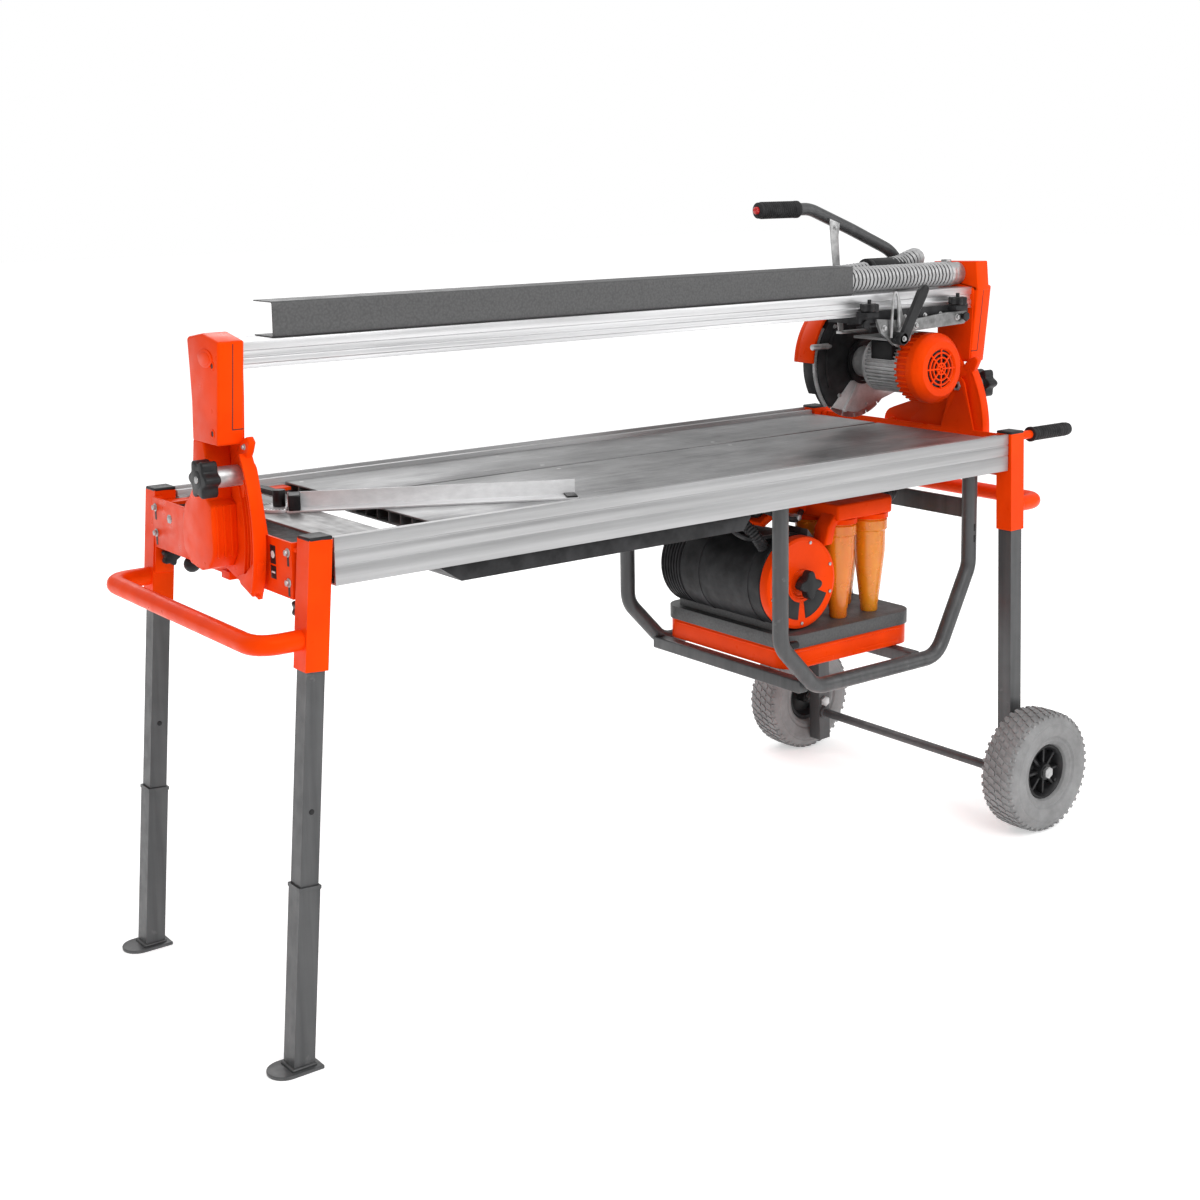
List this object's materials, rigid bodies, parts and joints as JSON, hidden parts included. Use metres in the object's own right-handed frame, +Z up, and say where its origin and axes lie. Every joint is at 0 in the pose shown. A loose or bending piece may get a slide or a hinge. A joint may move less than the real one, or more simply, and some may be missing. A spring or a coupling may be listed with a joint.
{
  "type": "bridge tile saw",
  "caption": "Folding bridge saw for large tile: aluminium table on splayed legs with wheels, tilting rail, travelling saw head and dust extractor.",
  "frame": {"origin": "floor level under the centre of the whole saw", "axes": "+Z up, X along the table and rail with the wheels at +X, -Y towards the operator"},
  "size_m": [1.9494, 0.814, 1.339],
  "materials": {
    "orange_paint": "gloss orange enamel",
    "grey_paint": "dark grey semi-gloss paint",
    "hammered_paint": "dark grey hammertone paint",
    "black_paint": "black satin paint",
    "table_aluminium": "weathered brushed aluminium",
    "rail_aluminium": "satin extruded aluminium",
    "steel": "bright zinc plated steel",
    "black_plastic": "black moulded plastic",
    "grip_rubber": "ribbed black rubber",
    "tyre": "light grey rubber tread",
    "hose_grey": "ribbed grey hose",
    "hose_black": "ribbed black hose",
    "amber": "translucent amber plastic",
    "red": "red moulded plastic"
  },
  "bodies": {
    "stand": {"left_end_frame": "orange_paint", "right_end_frame": "orange_paint", "left_front_leg": "grey_paint", "left_rear_leg": "grey_paint", "right_front_leg": "grey_paint", "right_rear_leg": "grey_paint", "front_wheel_axle": "steel", "rear_wheel_axle": "steel", "leg_cross_bar": "grey_paint", "front_lifting_grip": "grip_rubber", "rear_lifting_grip": "grip_rubber", "front_side_beam": "rail_aluminium", "rear_side_beam": "rail_aluminium", "front_table_slab": "table_aluminium", "rear_table_slab": "table_aluminium", "dust_trough": "black_paint", "left_end_plate": "orange_paint", "right_end_plate": "orange_paint", "cradle_front_hoop": "grey_paint", "cradle_rear_hoop": "grey_paint", "extractor_base": "hammered_paint", "filter_drum": "black_paint", "filter_cover": "orange_paint", "cyclone_bank": "amber", "extractor_motor": "black_paint", "lower_hose": "hose_black"},
    "left_front_foot": {"left_front_lower_leg": "grey_paint"},
    "left_rear_foot": {"left_rear_lower_leg": "grey_paint"},
    "left_front_leg_screw": {"left_front_leg_knob": "black_plastic"},
    "left_rear_leg_screw": {"left_rear_leg_knob": "black_plastic"},
    "front_wheel": {"front_tyre": "tyre", "front_wheel_rim": "black_paint"},
    "rear_wheel": {"rear_tyre": "tyre", "rear_wheel_rim": "black_paint"},
    "bridge": {"left_tower": "orange_paint", "right_tower": "orange_paint", "bridge_rail": "rail_aluminium", "hose_guard": "hammered_paint", "rail_hose": "hose_grey"},
    "left_lock": {"left_bevel_lock": "steel"},
    "right_lock": {"right_bevel_lock": "steel"},
    "slider": {"carriage": "black_paint"},
    "slider_left_screw": {"carriage_left_knob": "black_plastic"},
    "slider_right_screw": {"carriage_right_knob": "black_plastic"},
    "head": {"plunge_arm": "steel", "motor_housing": "rail_aluminium", "fan_cover": "orange_paint", "blade_guard": "black_paint", "head_handle": "grey_paint", "head_grip": "grip_rubber"},
    "blade": {"saw_blade": "steel", "blade_spindle": "steel"},
    "plunge_lever": {"plunge_lock_lever": "black_plastic"},
    "switch": {"switch_button": "red"},
    "fence_slider": {"fence_slide_plate": "steel"},
    "fence": {"mitre_fence": "rail_aluminium"},
    "fence_lever": {"fence_clamp_lever": "black_plastic"},
    "table_lever": {"table_clamp_lever": "black_plastic"},
    "dust_drawer": {"dust_tray": "orange_paint"},
    "filter_screw": {"filter_knob": "black_plastic"}
  },
  "joints": [
    {"name": "left_front_leg_slide", "type": "slide", "parent": "stand", "child": "left_front_foot", "axis": [-0.0785, 0, -0.9969], "range_m": [-0.2, 0]},
    {"name": "left_rear_leg_slide", "type": "slide", "parent": "stand", "child": "left_rear_foot", "axis": [-0.0785, 0, -0.9969], "range_m": [-0.2, 0]},
    {"name": "left_front_leg_screw_turn", "type": "hinge", "parent": "stand", "child": "left_front_leg_screw", "pos_m": [-0.85825, -0.26, 0.733], "axis": [0, 1, 0], "continuous": true},
    {"name": "left_rear_leg_screw_turn", "type": "hinge", "parent": "stand", "child": "left_rear_leg_screw", "pos_m": [-0.85825, 0.26, 0.733], "axis": [0, 1, 0], "continuous": true},
    {"name": "front_wheel_turn", "type": "hinge", "parent": "stand", "child": "front_wheel", "pos_m": [0.80075, -0.361, 0.13], "axis": [0, 1, 0], "continuous": true},
    {"name": "rear_wheel_turn", "type": "hinge", "parent": "stand", "child": "rear_wheel", "pos_m": [0.80075, 0.361, 0.13], "axis": [0, 1, 0], "continuous": true},
    {"name": "bridge_tilt", "type": "hinge", "parent": "stand", "child": "bridge", "pos_m": [-0.03725, 0.066, 0.838], "axis": [1, 0, 0], "range_deg": [-45, 0]},
    {"name": "left_bevel_lock_turn", "type": "hinge", "parent": "stand", "child": "left_lock", "pos_m": [-0.93725, -0.13084, 0.934], "axis": [1, 0, 0], "range_deg": [0, 180]},
    {"name": "right_bevel_lock_turn", "type": "hinge", "parent": "stand", "child": "right_lock", "pos_m": [0.86275, -0.13084, 0.934], "axis": [1, 0, 0], "range_deg": [-180, 0]},
    {"name": "carriage_travel", "type": "slide", "parent": "bridge", "child": "slider", "axis": [1, 0, 0], "range_m": [-1.3, 0]},
    {"name": "carriage_left_screw_turn", "type": "hinge", "parent": "slider", "child": "slider_left_screw", "pos_m": [0.48375, -0.1713, 1.12], "axis": [0, 0, 1], "range_deg": [-180, 180]},
    {"name": "carriage_right_screw_turn", "type": "hinge", "parent": "slider", "child": "slider_right_screw", "pos_m": [0.74975, -0.1713, 1.12], "axis": [0, 0, 1], "range_deg": [-180, 180]},
    {"name": "head_plunge", "type": "hinge", "parent": "slider", "child": "head", "pos_m": [0.76975, -0.15, 1.089], "axis": [0, 1, 0], "range_deg": [-18, 0]},
    {"name": "blade_spin", "type": "hinge", "parent": "head", "child": "blade", "pos_m": [0.68475, 0.066, 0.984], "axis": [0, 1, 0], "continuous": true},
    {"name": "plunge_lock_turn", "type": "hinge", "parent": "head", "child": "plunge_lever", "pos_m": [0.56275, -0.18, 1.056], "axis": [0, 1, 0], "range_deg": [-10, 40]},
    {"name": "switch_press", "type": "slide", "parent": "head", "child": "switch", "axis": [1, 0, 0], "range_m": [0, 0.004], "stiffness_N_per_m": 600, "springref_m": -0.001},
    {"name": "fence_travel", "type": "slide", "parent": "stand", "child": "fence_slider", "axis": [1, 0, 0], "range_m": [-0.045, 0.085]},
    {"name": "fence_swing", "type": "hinge", "parent": "fence_slider", "child": "fence", "pos_m": [-0.75325, 0.022, 0.845], "axis": [0, 0, 1], "range_deg": [-2, 45]},
    {"name": "fence_clamp_turn", "type": "hinge", "parent": "fence", "child": "fence_lever", "pos_m": [-0.75325, 0.022, 0.86], "axis": [0, 0, 1], "range_deg": [-60, 60]},
    {"name": "table_clamp_turn", "type": "hinge", "parent": "stand", "child": "table_lever", "pos_m": [-0.84325, 0.088, 0.75], "axis": [0, 0, 1], "range_deg": [-30, 30]},
    {"name": "dust_drawer_slide", "type": "slide", "parent": "stand", "child": "dust_drawer", "axis": [-1, 0, 0], "range_m": [0, 0.2]},
    {"name": "filter_knob_turn", "type": "hinge", "parent": "stand", "child": "filter_screw", "pos_m": [0.31975, -0.16, 0.572], "axis": [0, 1, 0], "continuous": true}
  ]
}
